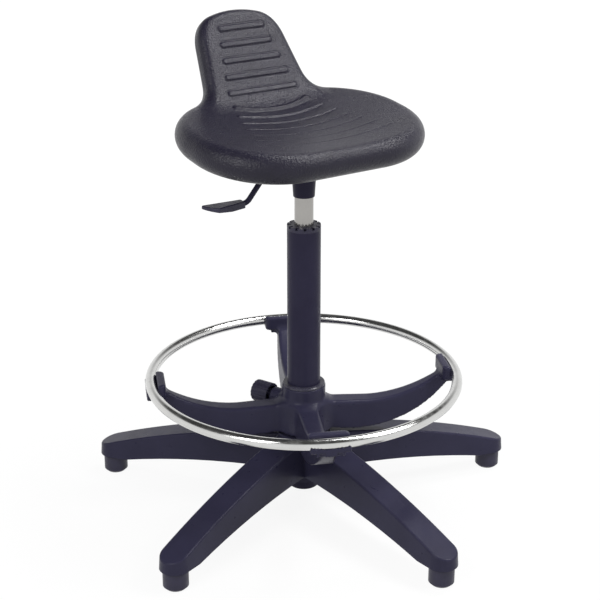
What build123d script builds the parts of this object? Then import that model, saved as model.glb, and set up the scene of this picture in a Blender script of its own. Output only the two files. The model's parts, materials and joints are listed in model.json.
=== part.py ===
from build123d import *
import os
from math import atan, cos, hypot, radians, sin, sqrt, tan

os.makedirs("parts", exist_ok=True)

# Technician stool on a five-leg base with glides, a gas-lift column, a foot ring and a one-piece seat.
# Sizes are in millimetres and angles in degrees.
# The origin is on the floor under the column, +Z is up and the seat faces -Y.

# Clearances
fit_gap = 0.05
running_gap = 0.08
face_gap = 0.3

# Star base
leg_count = 5
leg_first_angle = -14.0
glide_circle_radius = 318.0
leg_root_width = 60.0
leg_end_width = 46.0
leg_draft = 4.0
leg_edge_radius = 3.0
leg_wall = 4.0
leg_rib_thickness = 3.0
leg_rib_count = 3
leg_end_height = 31.0
leg_tip_height = 48.0
leg_middle_drop = 23.0
leg_under_drop = 61.0
leg_under_middle_drop = 68.0
leg_boss_radius = 26.0
hub_top_height = 118.0
hub_top_radius = 41.0
hub_low_radius = 46.0
hub_boss_radius = 29.0
hub_boss_height = 38.0

# Glides
glide_radius = 18.5
glide_foot_radius = 14.5
glide_chamfer_height = 4.0
glide_shoulder = 1.5
stem_radius = 5.5
stem_depth_in_glide = 18.0
stem_depth_in_leg = 13.0
grip_ring_height = 1.6
grip_ring_bite = 1.0
grip_ring_opening = 40.0

# Gas-lift column
tube_radius = 25.0
tube_wall = 2.0
tube_bottom_height = 23.0
tube_top_height = 442.0
tube_taper_drop = 1.4
tube_end_chamfer = 1.5
tube_floor_height = 27.0
tube_floor_thickness = 3.0
tube_floor_bore = 7.0
bush_length = 122.0
bush_crown_height = 7.0
bush_flange_height = 4.0
bush_tooth_count = 12
bush_slot_width = 4.0
bush_relief = 1.5
bush_land_length = 24.0

# Gas spring inside the column
cylinder_radius = 14.0
cylinder_wall = 2.0
cylinder_show = 43.0
cone_length = 36.0
cone_drop = 1.0
lift_end_room = 80.0
rod_radius = 5.0
rod_neck_radius = 4.0
race_radius = 15.0
race_thickness = 2.0
ball_radius = 1.9
ball_gap = 0.1
ball_count = 10
ball_circle_radius = 11.0
cage_thickness = 1.6
bump_length = 18.0
bump_radius = 11.0
clip_thickness = 1.2
clip_radius = 9.0
rod_guide_length = 26.0
rod_seal_length = 5.0
piston_length = 16.0
piston_seal_width = 4.0
piston_seal_depth = 2.0
piston_margin = 6.0
valve_length = 60.0
pin_radius = 4.0
pin_length = 34.0
pin_rise = 7.7
pin_tip_radius = 3.0
pin_travel = 3.0

# Foot ring
ring_radius = 232.0
ring_tube_radius = 8.0
ring_tube_wall = 1.5
ring_rise = 89.0
arm_count = 4
arm_first_angle = -24.5
arm_root_width = 40.0
arm_neck_width = 32.0
arm_neck_radius = 190.0
arm_end_width = 27.0
arm_draft = 5.0
arm_edge_radius = 4.0
arm_root_low_rise = 8.0
arm_root_rise = 50.0
arm_dip_radius = 100.0
arm_dip_rise = 46.0
arm_middle_radius = 152.0
arm_middle_rise = 53.5
arm_under_radius = 150.0
arm_under_rise = 16.0
arm_tip_radius = 212.0
arm_tip_rise = 82.0
arm_end_radius = 226.0
saddle_width = 58.0
saddle_start_radius = 211.0
saddle_depth = 12.0
saddle_inset = 0.5
saddle_wall_rise = 10.0
saddle_wall_gap = 1.0
saddle_corner = 8.0
saddle_edge = 2.5
saddle_foot_start = 214.0
saddle_foot_width = 40.0
saddle_foot_depth = 5.0
notch_count = 3
notch_pitch = 12.5
notch_width = 8.0
notch_depth = 2.4
ring_screw_radius = 2.2
ring_screw_head_radius = 4.5
ring_screw_head_height = 3.0
ring_screw_bite = 4.0
ring_screw_sink = 1.0
collar_radius = 33.0
collar_rise = 76.0
collar_edge = 1.5
spider_hub_radius = 38.0
spider_hub_rise = 50.0
ring_bush_wall = 4.0
ring_bush_flange_height = 3.0
ring_bush_flange_radius = 33.0
ring_bush_lip_height = 3.6
ring_bush_lip_radius = 32.0
ring_bush_lip_edge = 1.2
ring_bush_slit = 3.0

# Clamp knob of the foot ring
knob_angle = 112.5
knob_rise = 42.0
knob_radius = 17.0
knob_start_radius = 60.0
knob_length = 30.0
knob_lobe_count = 16
knob_scallop_radius = 2.0
knob_scallop_depth = 0.7
knob_edge_radius = 3.0
knob_wall = 3.0
knob_hollow_depth = 12.0
knob_core_radius = 8.0
screw_radius = 4.0
screw_end_margin = 4.0
knob_boss_radius = 13.0
knob_boss_length = 18.0
insert_radius = 6.5
insert_length = 14.0
pad_radius = 5.6
pad_length = 4.0

# Seat bracket and lever
socket_low_radius = 15.8
socket_step_drop = 12.0
socket_step_radius = 17.3
socket_top_radius = 19.0
socket_rise = 0.5
seat_base_rise = 22.0
plate_width = 190.0
plate_depth = 150.0
plate_corner = 18.0
sheet_thickness = 2.5
flange_thickness = 3.0
tray_width = 92.0
tray_depth = 70.0
tray_drop = 22.0
tray_corner = 10.0
bolt_spacing_x = 150.0
bolt_spacing_y = 110.0
bolt_radius = 4.0
bolt_head_radius = 7.5
bolt_head_height = 5.3
bolt_length_in_seat = 11.0
washer_radius = 9.0
washer_thickness = 1.6
lever_pivot_x = -32.0
lever_radius = 4.0
lever_inner_x = 12.0
lever_bend_x = -62.0
lever_paddle_x = -97.0
lever_drop = 41.5
lever_bend_radius = 14.0
lever_grip_length = 24.0
lever_slot_width = 11.0
lever_slot_room = 3.0
lever_slot_depth = 10.0
bracket_length = 16.0
bracket_wall = 2.0
bracket_rise = 6.0
pivot_radius = 2.0
pivot_clip_radius = 4.2
pivot_clip_thickness = 0.8
pivot_overhang = 2.5
paddle_length = 62.0
paddle_wide_at = 47.0
paddle_front = 15.5
paddle_tip_back = 12.0
paddle_tip_radius = 3.0
paddle_turn = 6.0
paddle_neck_width = 13.0
paddle_thickness = 10.0
paddle_thinning = 5.5
paddle_edge_radius = 1.8

# One-piece seat and back
seat_edge_rise = 34.0
seat_tilt = 7.0
seat_width = 370.0
seat_depth = 259.0
seat_corner = 121.0
seat_centre_y = 6.5
seat_rim_radius = 23.0
seat_rim_flat = 0.8
seat_rim_step = 16.0
dish_depth = 12.0
dish_radius = 140.0
dish_centre_y = 25.0
boss_width = 218.0
boss_depth = 162.0
boss_corner = 36.0
board_width = 200.0
board_depth = 146.0
board_corner = 26.0
board_thickness = 12.0
tee_flange_radius = 11.0
tee_flange_thickness = 1.5
tee_barrel_radius = 5.2
rib_middle_first = -68.0
rib_pitch = 24.0
rib_count = 7
rib_half_length_first = 112.0
rib_half_length_step = 8.5
rib_sag = 12.0
rib_radius = 2.6
back_lean = 35.0
back_middle_y = 140.0
back_middle_rise = 85.0
back_top = 83.6
back_shoulder = 66.0
back_shoulder_width = 137.0
back_waist = -22.0
back_waist_width = 163.0
back_root = -92.0
back_root_width = 228.0
back_flare_height = -66.0
back_flare_width = 185.0
back_corner = 22.0
back_thickness = 33.0
back_edge_radius = 13.0
bar_count = 5
bar_pitch = 25.6
bar_height = 9.5
bar_rise = 2.0
bar_length_first = 80.0
bar_length_step = 10.0


def turned(*corners):
    """A solid turned round the column axis from the (radius, height) corners of its half section."""
    with BuildPart() as piece:
        with BuildSketch(Plane.XZ):
            with BuildLine():
                Polyline(*corners, close=True)
            make_face()
        revolve(axis=Axis.Z)
    return piece.part


def tube(inner, outer, bottom, top):
    """A plain ring or sleeve round the column axis."""
    return turned((inner, bottom), (outer, bottom), (outer, top), (inner, top))


def save(piece, name):
    """Labels a finished piece and writes its file."""
    piece.part.label = name
    export_step(piece.part, f"parts/{name}.step")


# Places that several pieces share
leg_middle_height = hub_top_height - leg_middle_drop
leg_under_height = hub_top_height - leg_under_drop
leg_under_middle_height = hub_top_height - leg_under_middle_drop
lift_stroke = tube_top_height - bush_length - lift_end_room
cylinder_top_height = tube_top_height + bush_crown_height + cylinder_show + cone_length
hub_bore_low = tube_radius - tube_taper_drop + fit_gap
tube_bore = tube_radius - tube_wall
race_bottom = tube_floor_height + tube_floor_thickness
ball_height = race_bottom + race_thickness + ball_gap + ball_radius
upper_race_bottom = ball_height + ball_radius + ball_gap
upper_race_top = upper_race_bottom + race_thickness
cylinder_bottom = upper_race_top + bump_length + face_gap
cylinder_bore = cylinder_radius - cylinder_wall
piston_bottom = cylinder_bottom + rod_guide_length + rod_seal_length + lift_stroke + piston_margin
cone_bottom = cylinder_top_height - cone_length
pin_top = cylinder_top_height + pin_rise
lever_height = pin_top + face_gap + lever_radius
lever_paddle_height = lever_height - lever_drop
seat_base_height = cylinder_top_height + seat_base_rise
tray_bottom = seat_base_height - tray_drop
tray_floor_top = tray_bottom + sheet_thickness
flange_bottom = seat_base_height - flange_thickness
ring_bush_bottom = hub_top_height + face_gap
ring_height = hub_top_height + ring_rise
arm_root_bottom = hub_top_height + arm_root_low_rise
arm_root_top = hub_top_height + arm_root_rise
arm_dip_height = hub_top_height + arm_dip_rise
arm_middle_height = hub_top_height + arm_middle_rise
arm_under_height = hub_top_height + arm_under_rise
arm_tip_height = hub_top_height + arm_tip_rise
collar_top_height = hub_top_height + collar_rise
spider_hub_top_height = hub_top_height + spider_hub_rise
ring_bush_lip_bottom = collar_top_height + face_gap
ring_bush_lip_top = ring_bush_lip_bottom + ring_bush_lip_height
knob_height = hub_top_height + knob_rise
ring_bush_inner = tube_radius + running_gap
ring_bush_outer = ring_bush_inner + ring_bush_wall
spider_bottom = ring_bush_bottom + ring_bush_flange_height
spider_bore = ring_bush_outer + running_gap
saddle_bottom = ring_height - saddle_depth
saddle_foot_bottom = saddle_bottom - saddle_foot_depth
saddle_outer = ring_radius + ring_tube_radius - saddle_inset
saddle_wall_outer = ring_radius - ring_tube_radius - saddle_wall_gap
board_top = seat_base_height + board_thickness
seat_edge_height = seat_base_height + seat_edge_rise
back_middle_height = seat_edge_height + back_middle_rise


# Star base: five hollow legs with cross ribs, open underneath, round a hub with a tapered bore
def leg_top_points(drop):
    """Three points of the leg's arched top, lowered by the given amount."""
    tip = glide_circle_radius + leg_end_width / 2
    return (
        (0, hub_top_height - drop),
        (tip / 2, leg_middle_height - drop),
        (tip, leg_tip_height - drop),
    )


with BuildPart() as leg:
    leg_tip_radius = glide_circle_radius + leg_end_width / 2
    with BuildSketch(Plane.XY.offset(leg_end_height)):
        with BuildLine():
            Line((0, -leg_root_width / 2), (glide_circle_radius, -leg_end_width / 2))
            ThreePointArc(
                (glide_circle_radius, -leg_end_width / 2),
                (leg_tip_radius, 0),
                (glide_circle_radius, leg_end_width / 2),
            )
            Line((glide_circle_radius, leg_end_width / 2), (0, leg_root_width / 2))
            Line((0, leg_root_width / 2), (0, -leg_root_width / 2))
        make_face()
    extrude(amount=hub_top_height - leg_end_height, taper=leg_draft)
    with BuildSketch(Plane.XZ):
        boss_start = glide_circle_radius - leg_boss_radius
        top_root, top_middle, top_tip = leg_top_points(0)
        with BuildLine():
            ThreePointArc(top_root, top_middle, top_tip)
            Polyline(
                top_tip,
                (leg_tip_radius, leg_end_height),
                (boss_start, leg_end_height),
            )
            ThreePointArc(
                (boss_start, leg_end_height),
                ((boss_start + hub_low_radius) / 2, leg_under_middle_height),
                (hub_low_radius, leg_under_height),
            )
            Polyline((hub_low_radius, leg_under_height), (0, leg_under_height), top_root)
        make_face()
    extrude(amount=leg_root_width, both=True, mode=Mode.INTERSECT)
    leg_top = leg.faces().sort_by(Axis.Z)[-1]
    fillet(leg_top.edges().sort_by(Axis.X)[1:], leg_edge_radius)


def leg_half_width(radius):
    """Half the leg's width at its foot, at a distance from the column axis."""
    share = radius / glide_circle_radius
    return (leg_root_width + (leg_end_width - leg_root_width) * share) / 2


with BuildPart() as leg_channel:
    channel_start = hub_low_radius + leg_wall
    channel_end = glide_circle_radius - leg_boss_radius
    start_half = leg_half_width(channel_start) - leg_wall
    end_half = leg_half_width(channel_end) - leg_wall
    with BuildSketch(Plane.XY.offset(leg_end_height)):
        with BuildLine():
            Polyline(
                (channel_start, -start_half),
                (channel_end, -end_half),
                (channel_end, end_half),
                (channel_start, start_half),
                close=True,
            )
        make_face()
    extrude(amount=hub_top_height - leg_end_height, taper=leg_draft)
    with BuildSketch(Plane.XZ):
        low_root, low_middle, low_tip = leg_top_points(leg_wall)
        with BuildLine():
            ThreePointArc(low_root, low_middle, low_tip)
            Polyline(low_tip, (low_tip[0], 0), (0, 0), low_root)
        make_face()
    extrude(amount=leg_root_width, both=True, mode=Mode.INTERSECT)
    rib_step = (channel_end - channel_start) / (leg_rib_count + 1)
    for rib in range(leg_rib_count):
        with Locations((channel_start + rib_step * (rib + 1), 0, hub_top_height / 2)):
            Box(leg_rib_thickness, leg_root_width, hub_top_height, mode=Mode.SUBTRACT)

with BuildPart() as star_base:
    add(
        turned(
            (0, hub_boss_height),
            (hub_boss_radius, hub_boss_height),
            (hub_boss_radius, leg_under_height),
            (hub_low_radius, leg_under_height),
            (hub_top_radius, hub_top_height),
            (0, hub_top_height),
        )
    )
    with PolarLocations(0, leg_count, leg_first_angle):
        add(leg.part)
    with PolarLocations(0, leg_count, leg_first_angle):
        add(leg_channel.part, mode=Mode.SUBTRACT)
    add(
        turned(
            (0, tube_bottom_height),
            (hub_bore_low, tube_bottom_height),
            (tube_radius + fit_gap, hub_top_height),
            (0, hub_top_height),
        ),
        mode=Mode.SUBTRACT,
    )
    with Locations((0, 0, leg_end_height)):
        with PolarLocations(glide_circle_radius, leg_count, leg_first_angle):
            Cylinder(
                stem_radius + fit_gap,
                stem_depth_in_leg + face_gap,
                align=(Align.CENTER, Align.CENTER, Align.MIN),
                mode=Mode.SUBTRACT,
            )
    grip_ring_bottom = leg_end_height + stem_depth_in_leg / 2
    with Locations((0, 0, grip_ring_bottom - fit_gap)):
        with PolarLocations(glide_circle_radius, leg_count, leg_first_angle):
            Cylinder(
                stem_radius + grip_ring_bite + fit_gap,
                grip_ring_height + 2 * fit_gap,
                align=(Align.CENTER, Align.CENTER, Align.MIN),
                mode=Mode.SUBTRACT,
            )
save(star_base, "star_base")

# Glides: one moulded foot under each leg, on a steel stem held by a split grip ring
for index in range(leg_count):
    leg_angle = radians(leg_first_angle + index * 360 / leg_count)
    glide_x = glide_circle_radius * cos(leg_angle)
    glide_y = glide_circle_radius * sin(leg_angle)
    glide_plane = Plane(origin=(glide_x, glide_y, 0), x_dir=(1, 0, 0), z_dir=(0, -1, 0))
    with BuildPart() as glide:
        with BuildSketch(glide_plane):
            with BuildLine():
                Polyline(
                    (0, 0),
                    (glide_foot_radius, 0),
                    (glide_radius, glide_chamfer_height),
                    (glide_radius, leg_end_height - glide_chamfer_height),
                    (glide_radius - glide_shoulder, leg_end_height),
                    (0, leg_end_height),
                    close=True,
                )
            make_face()
        revolve(axis=Axis((glide_x, glide_y, 0), (0, 0, 1)))
        with Locations((glide_x, glide_y, leg_end_height)):
            Cylinder(
                stem_radius + fit_gap,
                stem_depth_in_glide + face_gap,
                align=(Align.CENTER, Align.CENTER, Align.MAX),
                mode=Mode.SUBTRACT,
            )
    save(glide, f"glide_{index + 1}")

with BuildPart() as glide_stems:
    with Locations((0, 0, leg_end_height - stem_depth_in_glide)):
        with PolarLocations(glide_circle_radius, leg_count, leg_first_angle):
            Cylinder(
                stem_radius,
                stem_depth_in_glide + stem_depth_in_leg,
                align=(Align.CENTER, Align.CENTER, Align.MIN),
            )
    with Locations((0, 0, grip_ring_bottom - fit_gap)):
        with PolarLocations(glide_circle_radius, leg_count, leg_first_angle):
            Cylinder(
                stem_radius,
                grip_ring_height + 2 * fit_gap,
                align=(Align.CENTER, Align.CENTER, Align.MIN),
                mode=Mode.SUBTRACT,
            )
            Cylinder(
                stem_radius - grip_ring_bite,
                grip_ring_height + 2 * fit_gap,
                align=(Align.CENTER, Align.CENTER, Align.MIN),
            )
save(glide_stems, "glide_stems")

with BuildPart() as stem_grip_rings:
    for index in range(leg_count):
        leg_angle = radians(leg_first_angle + index * 360 / leg_count)
        stem_x = glide_circle_radius * cos(leg_angle)
        stem_y = glide_circle_radius * sin(leg_angle)
        ring_plane = Plane(origin=(stem_x, stem_y, grip_ring_bottom))
        with BuildSketch(ring_plane):
            Circle(stem_radius + grip_ring_bite)
            Circle(stem_radius - grip_ring_bite + fit_gap, mode=Mode.SUBTRACT)
            opening = 2 * stem_radius * tan(radians(grip_ring_opening / 2))
            with Locations((stem_radius, 0)):
                Rectangle(2 * stem_radius, opening, mode=Mode.SUBTRACT)
        extrude(amount=grip_ring_height)
save(stem_grip_rings, "stem_grip_rings")

# Column tube: plain above, tapered into the hub below, closed by a floor for the thrust bearing
with BuildPart() as column_tube:
    tube_low_radius = tube_radius - tube_taper_drop
    low_bore = tube_low_radius - tube_wall
    add(
        turned(
            (tube_floor_bore, tube_floor_height),
            (low_bore, tube_floor_height),
            (low_bore, tube_bottom_height),
            (tube_low_radius - tube_end_chamfer, tube_bottom_height),
            (tube_low_radius, tube_bottom_height + tube_end_chamfer),
            (tube_radius, hub_top_height),
            (tube_radius, tube_top_height),
            (tube_bore, tube_top_height),
            (tube_bore, hub_top_height),
            (low_bore, race_bottom),
            (tube_floor_bore, race_bottom),
        )
    )
save(column_tube, "column_tube")

# Guide bush: a sleeve in the top of the tube, with a toothed crown that shows above it
with BuildPart() as guide_bush:
    bush_bottom = tube_top_height - bush_length
    bush_bore = cylinder_radius + running_gap
    crown_base = tube_top_height + bush_flange_height
    crown_top = tube_top_height + bush_crown_height
    add(tube(bush_bore, tube_bore - fit_gap, bush_bottom, tube_top_height))
    add(tube(bush_bore, tube_radius, tube_top_height, crown_base))
    add(tube(bush_bore, tube_radius, crown_base, crown_top))
    relief_bottom = bush_bottom + bush_land_length
    relief_top = tube_top_height - bush_land_length
    add(tube(cylinder_radius, bush_bore + bush_relief, relief_bottom, relief_top), mode=Mode.SUBTRACT)
    with Locations((0, 0, crown_base)):
        with PolarLocations(tube_radius, bush_tooth_count):
            Box(
                tube_radius - bush_bore,
                bush_slot_width,
                bush_crown_height,
                align=(Align.CENTER, Align.CENTER, Align.MIN),
                mode=Mode.SUBTRACT,
            )
save(guide_bush, "guide_bush")

# Thrust bearing under the piston rod: two races with caged balls between them
with BuildPart() as lower_race:
    add(tube(rod_neck_radius + face_gap, race_radius, race_bottom, race_bottom + race_thickness))
save(lower_race, "lower_race")

with BuildPart() as upper_race:
    add(tube(rod_neck_radius + fit_gap, race_radius, upper_race_bottom, upper_race_top))
save(upper_race, "upper_race")

with BuildPart() as bearing_cage:
    cage_bottom = ball_height - cage_thickness / 2
    add(tube(rod_neck_radius + face_gap, race_radius, cage_bottom, cage_bottom + cage_thickness))
    with Locations((0, 0, ball_height)):
        with PolarLocations(ball_circle_radius, ball_count):
            Cylinder(ball_radius + fit_gap, cage_thickness, mode=Mode.SUBTRACT)
save(bearing_cage, "bearing_cage")

with BuildPart() as bearing_balls:
    with Locations((0, 0, ball_height)):
        with PolarLocations(ball_circle_radius, ball_count):
            Sphere(ball_radius)
save(bearing_balls, "bearing_balls")

# Piston rod: stands on the bearing, keyed by a clip under the tube's floor
with BuildPart() as piston_rod:
    rod_bottom = tube_bottom_height
    clip_top = tube_floor_height - face_gap
    clip_bottom = clip_top - clip_thickness
    groove_radius = rod_neck_radius - grip_ring_bite
    piston_top = piston_bottom + piston_length
    add(
        turned(
            (0, rod_bottom),
            (rod_neck_radius, rod_bottom),
            (rod_neck_radius, clip_bottom),
            (groove_radius, clip_bottom),
            (groove_radius, clip_top),
            (rod_neck_radius, clip_top),
            (rod_neck_radius, upper_race_top),
            (rod_radius, upper_race_top),
            (rod_radius, piston_bottom),
            (rod_neck_radius, piston_bottom),
            (rod_neck_radius, piston_top),
            (0, piston_top),
        )
    )
save(piston_rod, "piston_rod")

with BuildPart() as retaining_clip:
    add(tube(groove_radius + fit_gap, clip_radius, clip_bottom, clip_top))
    with Locations((clip_radius, 0, clip_bottom)):
        Box(
            2 * clip_radius,
            2 * groove_radius,
            clip_thickness,
            align=(Align.CENTER, Align.CENTER, Align.MIN),
            mode=Mode.SUBTRACT,
        )
save(retaining_clip, "retaining_clip")

with BuildPart() as bump_stop:
    add(tube(rod_radius + fit_gap, bump_radius, upper_race_top, upper_race_top + bump_length))
save(bump_stop, "bump_stop")

with BuildPart() as piston:
    groove_bottom = piston_bottom + (piston_length - piston_seal_width) / 2
    groove_top = groove_bottom + piston_seal_width
    piston_radius = cylinder_bore - face_gap
    seal_inner = piston_radius - piston_seal_depth
    add(tube(rod_neck_radius + fit_gap, piston_radius, piston_bottom, piston_top))
    add(tube(seal_inner, cylinder_bore, groove_bottom, groove_top), mode=Mode.SUBTRACT)
save(piston, "piston")

with BuildPart() as piston_seal:
    add(tube(seal_inner + fit_gap, cylinder_bore - running_gap, groove_bottom, groove_top))
save(piston_seal, "piston_seal")

# Gas cylinder: the bright tube that rises with the seat, with a cone on top
with BuildPart() as gas_cylinder:
    add(
        turned(
            (cylinder_bore, cylinder_bottom),
            (cylinder_radius, cylinder_bottom),
            (cylinder_radius, cone_bottom),
            (cylinder_radius - cone_drop, cylinder_top_height),
            (pin_radius + fit_gap, cylinder_top_height),
            (pin_radius + fit_gap, cylinder_top_height - cylinder_wall),
            (cylinder_bore - cone_drop, cylinder_top_height - cylinder_wall),
            (cylinder_bore - cone_drop, cylinder_top_height - valve_length),
            (cylinder_bore, cylinder_top_height - valve_length),
        )
    )
save(gas_cylinder, "gas_cylinder")

with BuildPart() as rod_guide:
    guide_bottom = cylinder_bottom
    guide_top = guide_bottom + rod_guide_length
    add(tube(rod_radius + running_gap, cylinder_bore - fit_gap, guide_bottom, guide_top))
save(rod_guide, "rod_guide")

with BuildPart() as rod_seal:
    add(tube(rod_radius + running_gap, cylinder_bore - fit_gap, guide_top, guide_top + rod_seal_length))
save(rod_seal, "rod_seal")

with BuildPart() as valve_body:
    valve_top = cylinder_top_height - cylinder_wall
    valve_bottom = cylinder_top_height - valve_length
    valve_radius = cylinder_bore - cone_drop - fit_gap
    pin_bottom = pin_top - pin_length
    pin_well = pin_bottom - pin_travel - face_gap
    add(
        turned(
            (0, valve_bottom),
            (valve_radius, valve_bottom),
            (valve_radius, valve_top),
            (pin_radius + running_gap, valve_top),
            (pin_radius + running_gap, pin_well),
            (0, pin_well),
        )
    )
save(valve_body, "valve_body")

with BuildPart() as release_pin:
    with Locations((0, 0, pin_bottom)):
        Cylinder(pin_radius, pin_length, align=(Align.CENTER, Align.CENTER, Align.MIN))
    fillet(release_pin.edges().sort_by(Axis.Z)[-1], pin_tip_radius)
save(release_pin, "release_pin")

# Foot ring sleeve: a split plastic bush that slides on the column
with BuildPart() as ring_bush:
    add(
        turned(
            (ring_bush_inner, ring_bush_bottom),
            (ring_bush_flange_radius, ring_bush_bottom),
            (ring_bush_flange_radius, spider_bottom),
            (ring_bush_outer, spider_bottom),
            (ring_bush_outer, ring_bush_lip_bottom),
            (ring_bush_lip_radius, ring_bush_lip_bottom),
            (ring_bush_lip_radius, ring_bush_lip_top - ring_bush_lip_edge),
            (ring_bush_lip_radius - ring_bush_lip_edge, ring_bush_lip_top),
            (ring_bush_inner, ring_bush_lip_top),
        )
    )
    with Locations((ring_bush_inner, 0, ring_bush_bottom)):
        Box(
            2 * ring_bush_wall + ring_bush_flange_radius - ring_bush_inner,
            ring_bush_slit,
            ring_bush_lip_top - ring_bush_bottom,
            align=(Align.CENTER, Align.CENTER, Align.MIN),
            mode=Mode.SUBTRACT,
        )
save(ring_bush, "ring_bush")

# Foot ring spider: a hub with a collar and four arms that end in saddles inside and under the ring
def is_arm_top(face):
    """Whether a face of the arm looks up and lies inside the saddle."""
    facing = face.normal_at()
    return facing.Z > abs(facing.Y) and face.center().X < saddle_start_radius


with BuildPart() as spider_arm:
    with BuildSketch(Plane.XY.offset(arm_root_bottom)):
        with BuildLine():
            Polyline(
                (0, -arm_root_width / 2),
                (arm_neck_radius, -arm_neck_width / 2),
                (saddle_outer, -arm_end_width / 2),
                (saddle_outer, arm_end_width / 2),
                (arm_neck_radius, arm_neck_width / 2),
                (0, arm_root_width / 2),
                close=True,
            )
        make_face()
    extrude(amount=ring_height - arm_root_bottom, taper=arm_draft)
    with BuildSketch(Plane.XZ):
        with BuildLine():
            Line((0, arm_root_top), (arm_dip_radius, arm_dip_height))
            ThreePointArc(
                (arm_dip_radius, arm_dip_height),
                (arm_middle_radius, arm_middle_height),
                (arm_tip_radius, arm_tip_height),
            )
            Polyline(
                (arm_tip_radius, arm_tip_height),
                (arm_end_radius, arm_tip_height),
                (arm_end_radius, saddle_foot_bottom),
            )
            ThreePointArc(
                (arm_end_radius, saddle_foot_bottom),
                (arm_under_radius, arm_under_height),
                (spider_hub_radius, arm_root_bottom),
            )
            Polyline((spider_hub_radius, arm_root_bottom), (0, arm_root_bottom), (0, arm_root_top))
        make_face()
    extrude(amount=arm_root_width, both=True, mode=Mode.INTERSECT)
    arm_tops = spider_arm.faces().filter_by(is_arm_top)
    fillet(arm_tops.edges().filter_by(Axis.Y, reverse=True), arm_edge_radius)

with BuildPart() as spider_saddle:
    with BuildSketch(Plane.XZ):
        with BuildLine():
            Polyline(
                (saddle_start_radius, saddle_bottom),
                (saddle_outer, saddle_bottom),
                (saddle_outer, ring_height),
                (saddle_wall_outer, ring_height),
                (saddle_wall_outer, ring_height + saddle_wall_rise),
                (saddle_start_radius, ring_height + saddle_wall_rise),
                close=True,
            )
        make_face()
    extrude(amount=saddle_width / 2, both=True)
    fillet(spider_saddle.edges().filter_by(Axis.Z).group_by(Axis.X)[0], saddle_corner)
    fillet(spider_saddle.faces().sort_by(Axis.Z)[-1].edges(), saddle_edge)
    with Locations(((saddle_foot_start + saddle_outer) / 2, 0, saddle_foot_bottom)):
        Box(
            saddle_outer - saddle_foot_start,
            saddle_foot_width,
            saddle_foot_depth,
            align=(Align.CENTER, Align.CENTER, Align.MIN),
        )
    with Locations((saddle_outer, 0, saddle_foot_bottom)):
        with GridLocations(0, notch_pitch, 1, notch_count):
            Box(
                2 * notch_depth,
                notch_width,
                saddle_foot_depth,
                align=(Align.CENTER, Align.CENTER, Align.MIN),
                mode=Mode.SUBTRACT,
            )

knob_direction = Vector(cos(radians(knob_angle)), sin(radians(knob_angle)), 0)
knob_plane = Plane(origin=(0, 0, knob_height), x_dir=(0, 0, 1), z_dir=knob_direction)
knob_boss_end = spider_hub_radius + knob_boss_length
screw_height = ring_height - ring_tube_radius - fit_gap
screw_head_top = saddle_foot_bottom + ring_screw_head_height + ring_screw_sink

with BuildPart() as footring_spider:
    add(
        turned(
            (0, spider_bottom),
            (spider_hub_radius, spider_bottom),
            (spider_hub_radius, spider_hub_top_height),
            (collar_radius, spider_hub_top_height),
            (collar_radius, collar_top_height - collar_edge),
            (collar_radius - collar_edge, collar_top_height),
            (0, collar_top_height),
        )
    )
    with PolarLocations(0, arm_count, arm_first_angle):
        add(spider_arm.part)
        add(spider_saddle.part)
    with BuildSketch(knob_plane):
        Circle(knob_boss_radius)
    extrude(amount=knob_boss_end)
    add(
        turned(
            (0, spider_bottom),
            (spider_bore, spider_bottom),
            (spider_bore, collar_top_height),
            (0, collar_top_height),
        ),
        mode=Mode.SUBTRACT,
    )
    with Locations((0, 0, ring_height)):
        Torus(ring_radius, ring_tube_radius + fit_gap, mode=Mode.SUBTRACT)
    with BuildSketch(knob_plane):
        Circle(pad_radius + running_gap)
    extrude(amount=knob_boss_end - insert_length, mode=Mode.SUBTRACT)
    with BuildSketch(knob_plane.offset(knob_boss_end - insert_length)):
        Circle(insert_radius + fit_gap)
    extrude(amount=insert_length, mode=Mode.SUBTRACT)
    with PolarLocations(ring_radius, arm_count, arm_first_angle):
        Cylinder(
            ring_screw_radius + fit_gap,
            ring_height,
            align=(Align.CENTER, Align.CENTER, Align.MIN),
            mode=Mode.SUBTRACT,
        )
        Cylinder(
            ring_screw_head_radius + face_gap,
            screw_head_top,
            align=(Align.CENTER, Align.CENTER, Align.MIN),
            mode=Mode.SUBTRACT,
        )
save(footring_spider, "footring_spider")

# Foot ring: a bent tube, drilled at each arm for its screw
with BuildPart() as footring_tube:
    with Locations((0, 0, ring_height)):
        Torus(ring_radius, ring_tube_radius)
        Torus(ring_radius, ring_tube_radius - ring_tube_wall, mode=Mode.SUBTRACT)
    with PolarLocations(ring_radius, arm_count, arm_first_angle):
        Cylinder(
            ring_screw_radius + fit_gap,
            ring_height,
            align=(Align.CENTER, Align.CENTER, Align.MIN),
            mode=Mode.SUBTRACT,
        )
save(footring_tube, "footring_tube")

with BuildPart() as ring_screws:
    with Locations((0, 0, screw_head_top)):
        with PolarLocations(ring_radius, arm_count, arm_first_angle):
            Cylinder(
                ring_screw_head_radius,
                ring_screw_head_height,
                align=(Align.CENTER, Align.CENTER, Align.MAX),
            )
            Cylinder(
                ring_screw_radius,
                screw_height + ring_tube_wall + ring_screw_bite - screw_head_top,
                align=(Align.CENTER, Align.CENTER, Align.MIN),
            )
save(ring_screws, "ring_screws")

# Clamp knob: its screw runs in a brass insert and presses a pad on the split sleeve
with BuildPart() as knob_insert:
    with BuildSketch(knob_plane.offset(knob_boss_end - insert_length)):
        Circle(insert_radius)
        Circle(screw_radius + running_gap, mode=Mode.SUBTRACT)
    extrude(amount=insert_length)
save(knob_insert, "knob_insert")

pad_start = ring_bush_outer + face_gap
pad_end = pad_start + pad_length

with BuildPart() as clamp_pad:
    with BuildSketch(knob_plane.offset(pad_start)):
        Circle(pad_radius)
    extrude(amount=pad_length)
save(clamp_pad, "clamp_pad")

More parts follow.
